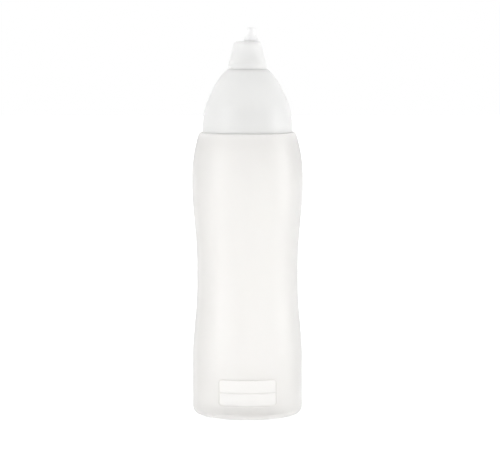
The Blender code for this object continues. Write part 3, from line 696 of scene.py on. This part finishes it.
def tip_profile():
    stem_low = NOZZLE_TOP_Z - NOZZLE_TOP_WALL - FIT
    stem_high = NOZZLE_TOP_Z + 0.05
    path = rounded(
        [(TIP_BORE_R, TIP_LOW + 1.0), (TIP_BORE_R, TIP_LOW), (TIP_FLANGE_R, TIP_LOW),
         (TIP_FLANGE_R, stem_low), (TIP_STEM_R, stem_low), (TIP_STEM_R, stem_high),
         (TIP_FLARE_R, stem_high), (TIP_FLARE_R, stem_high + TIP_FLARE_EDGE)],
        0.15,
    )
    path += bend(path[-1], 112, (TIP_SHAFT_R, NOZZLE_TOP_Z + TIP_FLARE_H), 96, 14)
    path += straight(path[-1], (TIP_END_R, TIP_TOP - TIP_END_ROUND), 4)
    path += bend(path[-1], 94, (TIP_END_R - TIP_END_ROUND, TIP_TOP), 180, 6)
    path += bend((TIP_BORE_R + 0.4, TIP_TOP), 180, (TIP_BORE_R, TIP_TOP - 0.4), 270, 4)
    path += straight(path[-1], (TIP_BORE_R, TIP_LOW + 1.6), 6)
    return path


tip = turned("soft_tip", tip_profile(), even_angles(72), centre=(TIP_X, 0.0))
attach(tip, "nozzle")
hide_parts("nozzle_tip")

# %% [markdown]
# ## Materials: helpers
#
# Colours are written as sRGB hex values, the way a paint chart gives them, and one function turns them to
# the linear values that light is computed in. One more function adds a node with its settings
# and links, and the materials below are short lists of those calls.

# %% Colour and node helpers
def linear(hex_colour):
    """An sRGB hex colour as a linear RGBA tuple."""
    parts = [int(hex_colour[i : i + 2], 16) / 255 for i in (1, 3, 5)]
    return tuple(c / 12.92 if c <= 0.04045 else ((c + 0.055) / 1.055) ** 2.4 for c in parts) + (1.0,)


def add(tree, kind, settings=None, **links):
    """Add a node. settings are its properties and socket values; links are sockets fed by others."""
    node = tree.nodes.new(kind)
    for key, value in (settings or {}).items():
        if hasattr(node, key):
            setattr(node, key, value)
        else:
            node.inputs[key].default_value = value
    for key, source in links.items():
        tree.links.new(source, node.inputs[key.replace("_", " ")])
    return node


def new_material(name):
    """An empty material, its node tree and its output node."""
    material = bpy.data.materials.new(name)
    material.use_nodes = True
    tree = material.node_tree
    tree.nodes.clear()
    return material, tree, tree.nodes.new("ShaderNodeOutputMaterial")


def noise(tree, place, size_mm, detail):
    """Soft noise with features of a real size: at scale 1 they are about a metre wide."""
    settings = {"Scale": 1 / (size_mm * MM), "Detail": detail}
    return add(tree, "ShaderNodeTexNoise", settings, Vector=place).outputs["Fac"]


def blend(tree, first, second, share):
    """A colour that goes from the first to the second by share. Each is a colour or a socket."""
    mix = add(tree, "ShaderNodeMix", {"data_type": "RGBA"}, Factor=share)
    for socket, value in (("A", first), ("B", second)):
        if isinstance(value, tuple):
            mix.inputs[socket].default_value = value
        else:
            tree.links.new(value, mix.inputs[socket])
    return mix.outputs["Result"]


def wear(piece, material):
    """Give a piece its one material."""
    piece.data.materials.clear()
    piece.data.materials.append(material)


print("natural polyethylene in linear light:", [round(c, 3) for c in linear("#fefdfc")[:3]])

# %% [markdown]
# ## Natural polyethylene, blow moulded
#
# Soft polyethylene without pigment is milky: crystals in it scatter light, so a 1 mm wall glows with
# whatever is behind it but shows no sharp shape. It could be done with volume scattering, which
# is slow, or with translucency alone, which looks like paper. A rough, refracting wall of
# real thickness, partly diffuse, gives both the glow and the soft view of the far wall.
# Polyethylene's IOR is 1.51. The blown wall is never quite even, which shows as slow waves
# some 20 mm long, and the mould's sandblasted cavity leaves a fine grain.

# %% Make the body's material
def natural_polyethylene():
    material, tree, output = new_material("natural_ldpe_blow_moulded")
    place = add(tree, "ShaderNodeTexCoord").outputs["Object"]
    matted = add(tree, "ShaderNodeAttribute", {"attribute_name": "matted"}).outputs["Fac"]
    painted_line_shade = add(tree, "ShaderNodeAttribute", {"attribute_name": "painted_line_shade"}).outputs["Fac"]
    waves = noise(tree, place, 20.0, 1.0)
    grain = noise(tree, place, 0.4, 2.0)
    slow = add(tree, "ShaderNodeBump", {"Strength": 0.35, "Distance": 0.6 * MM}, Height=waves)
    fine = add(
        tree, "ShaderNodeBump", {"Strength": 0.25, "Distance": 0.06 * MM},
        Height=grain, Normal=slow.outputs["Normal"],
    )
    colour = blend(tree, linear("#fefdfc"), linear("#fefdfb"), waves)
    # Painted shade: the raised panel lines are coloured a little darker, standing in for the shading of
    # their ridges.
    line_shaded_colour = blend(tree, colour, linear("#f1f0ed"), painted_line_shade)
    rough = add(tree, "ShaderNodeMapRange", {"To Min": 0.36, "To Max": 0.5}, Value=matted)
    clear = add(tree, "ShaderNodeAttribute", {"attribute_name": "clear"})
    shader = add(
        tree, "ShaderNodeBsdfPrincipled", {"IOR": 1.51},
        Roughness=rough.outputs["Result"], Normal=fine.outputs["Normal"],
        Transmission_Weight=clear.outputs["Fac"],
    )
    tree.links.new(line_shaded_colour, shader.inputs["Base Color"])
    tree.links.new(shader.outputs["BSDF"], output.inputs["Surface"])
    return material


wear(body, natural_polyethylene())

# %% [markdown]
# ## White mouldings
#
# The lid is polyethylene and the nozzle polypropylene, both injection moulded in polished steel. They
# hold only a little white pigment, so a 1.7 mm wall still lets some light through: the far side
# and the seals inside show as faint shadows, and the outline is a shade darker than the middle.
# A painted white would miss both. The skin is satin, with a faint orange-peel from shrinkage.
# Polypropylene is a little glossier, and here a little less clear.

# %% Make the two white plastics
def white_plastic(name, colour, deep_colour, roughness, peel_mm, clear):
    material, tree, output = new_material(name)
    place = add(tree, "ShaderNodeTexCoord").outputs["Object"]
    peel = noise(tree, place, peel_mm, 2.0)
    bump = add(tree, "ShaderNodeBump", {"Strength": 0.12, "Distance": 0.12 * MM}, Height=peel)
    tint = blend(tree, linear(colour), linear(deep_colour), peel)
    rough = add(
        tree, "ShaderNodeMapRange", {"To Min": roughness - 0.04, "To Max": roughness + 0.04}, Value=peel
    )
    shader = add(
        tree, "ShaderNodeBsdfPrincipled", {"IOR": 1.5, "Transmission Weight": clear},
        Roughness=rough.outputs["Result"], Normal=bump.outputs["Normal"],
    )
    tree.links.new(tint, shader.inputs["Base Color"])
    tree.links.new(shader.outputs["BSDF"], output.inputs["Surface"])
    return material


white_pe = white_plastic("white_lldpe_injection_moulded", "#fbfbfa", "#fafaf9", 0.38, 3.8, 0.44)
white_pp = white_plastic("white_pp_injection_moulded", "#fcfcfb", "#fbfbfa", 0.36, 2.4, 0.41)
wear(lid, white_pe)
wear(nozzle, white_pp)
wear(retainer, white_pp)

# %% [markdown]
# ## Silicone
#
# Food-grade silicone without pigment is cloudy and always faintly dusty. Rough glass alone would be too
# clear for a piece this thick, so only a third of its light goes straight through, with a low IOR
# of 1.41. The gasket is the same rubber with chalk in it, which makes it opaque.

# %% Make the silicones
def silicone(name, colour, roughness, clear):
    material, tree, output = new_material(name)
    place = add(tree, "ShaderNodeTexCoord").outputs["Object"]
    dust = noise(tree, place, 1.1, 3.0)
    bump = add(tree, "ShaderNodeBump", {"Strength": 0.15, "Distance": 0.05 * MM}, Height=dust)
    rough = add(
        tree, "ShaderNodeMapRange", {"To Min": roughness - 0.08, "To Max": roughness + 0.08}, Value=dust
    )
    shader = add(
        tree, "ShaderNodeBsdfPrincipled",
        {"Base Color": linear(colour), "IOR": 1.41, "Transmission Weight": clear},
        Roughness=rough.outputs["Result"], Normal=bump.outputs["Normal"],
    )
    tree.links.new(shader.outputs["BSDF"], output.inputs["Surface"])
    return material


clear_silicone = silicone("clear_silicone_moulded", "#fafafa", 0.3, 0.35)
wear(tip, clear_silicone)
wear(valve, clear_silicone)
wear(gasket, silicone("white_silicone_die_cut", "#ecebe6", 0.5, 0.0))

# %% [markdown]
# ## Floor, light and camera
#
# Pale translucent plastic is lit high-key: a white floor, a white surround, and a large softbox to each
# side, so that the shape shows in slightly darker sides and two broad soft patches of light. A single
# key light would be simpler, but its shadow would hide one side of such a pale piece. The floor
# gives off a little light of its own, like a light table.

# %% The floor
def white_floor():
    material, tree, output = new_material("white_light_table")
    shader = add(
        tree, "ShaderNodeBsdfPrincipled",
        {"Base Color": linear("#d8d8d8"), "Roughness": 0.6, "Emission Color": linear("#ffffff"),
         "Emission Strength": 0.57},
    )
    tree.links.new(shader.outputs["BSDF"], output.inputs["Surface"])
    return material


bpy.ops.mesh.primitive_plane_add(size=12.0, location=(0, 0, 0))
floor = bpy.context.object
floor.name = "floor"
wear(floor, white_floor())

# %% The surround
def white_studio():
    """White to the camera. As light it is a little weaker, brighter behind the bottle and above it."""
    world = bpy.data.worlds.new("white_studio")
    world.use_nodes = True
    tree = world.node_tree
    tree.nodes.clear()
    facing = add(tree, "ShaderNodeTexCoord").outputs["Generated"]
    parts = add(tree, "ShaderNodeSeparateXYZ", Vector=facing)
    back = add(
        tree, "ShaderNodeMapRange",
        {"From Min": -1.0, "From Max": 1.0, "To Min": 0.82, "To Max": 0.97}, Value=parts.outputs["Y"],
    )
    above = add(
        tree, "ShaderNodeMapRange",
        {"From Min": 0.0, "From Max": 1.0, "To Min": 0.0, "To Max": 0.2}, Value=parts.outputs["Z"],
    )
    shade = add(tree, "ShaderNodeMath", {"operation": "ADD"})
    tree.links.new(back.outputs["Result"], shade.inputs[0])
    tree.links.new(above.outputs["Result"], shade.inputs[1])
    sky = add(tree, "ShaderNodeBackground", {"Color": linear("#ffffff")}, Strength=shade.outputs["Value"])
    seen = add(tree, "ShaderNodeBackground", {"Color": linear("#ffffff"), "Strength": 1.0})
    both = add(tree, "ShaderNodeMixShader", Fac=add(tree, "ShaderNodeLightPath").outputs["Is Camera Ray"])
    tree.links.new(sky.outputs["Background"], both.inputs[1])
    tree.links.new(seen.outputs["Background"], both.inputs[2])
    add(tree, "ShaderNodeOutputWorld", Surface=both.outputs["Shader"])
    return world


bpy.context.scene.world = white_studio()

# %% The softboxes
MIDDLE = Vector((0, 0, TIP_TOP / 2 * MM))
SOFTBOX_DISTANCE = 1.1
SOFTBOX_HEIGHT = 0.30


def softbox(name, power, width, height, azimuth):
    """A softbox aimed at the bottle's middle. Its azimuth is counted from the front, to the right."""
    data = bpy.data.lights.new(name, "AREA")
    data.shape = "RECTANGLE"
    data.energy = power
    data.size = width
    data.size_y = height
    turn = math.radians(azimuth)
    place = Vector((SOFTBOX_DISTANCE * math.sin(turn), -SOFTBOX_DISTANCE * math.cos(turn), SOFTBOX_HEIGHT))
    lamp = bpy.data.objects.new(name, data)
    lamp.location = place
    lamp.rotation_euler = (MIDDLE - place).to_track_quat("-Z", "Y").to_euler()
    lamp.visible_camera = False
    bpy.context.scene.collection.objects.link(lamp)


softbox("softbox_left", 2.7, 0.3, 0.8, -58)
softbox("softbox_right", 2.9, 0.5, 0.65, 80)
print("softboxes aimed at", round(MIDDLE.z / MM), "mm above the floor")

# %% [markdown]
# ## The camera
#
# A long lens far away keeps the outline nearly free of perspective, as in a catalogue. It stands a little
# higher than the bottle and looks 5 degrees down, which opens the foot's edge into a shallow
# curve. The bottle fills most of the frame's height. View Transform is Standard, because a filmic
# curve would grey the whites.

# %% The camera
camera_data = bpy.data.cameras.new("camera")
camera_data.lens = 145.1
camera_data.sensor_width = 36.0
camera = bpy.data.objects.new("camera", camera_data)
camera.location = (0.00169, -1.361, 0.2473)
camera.rotation_euler = (math.radians(85), 0, 0)
bpy.context.scene.collection.objects.link(camera)
bpy.context.scene.camera = camera
bpy.context.scene.view_settings.view_transform = "Standard"
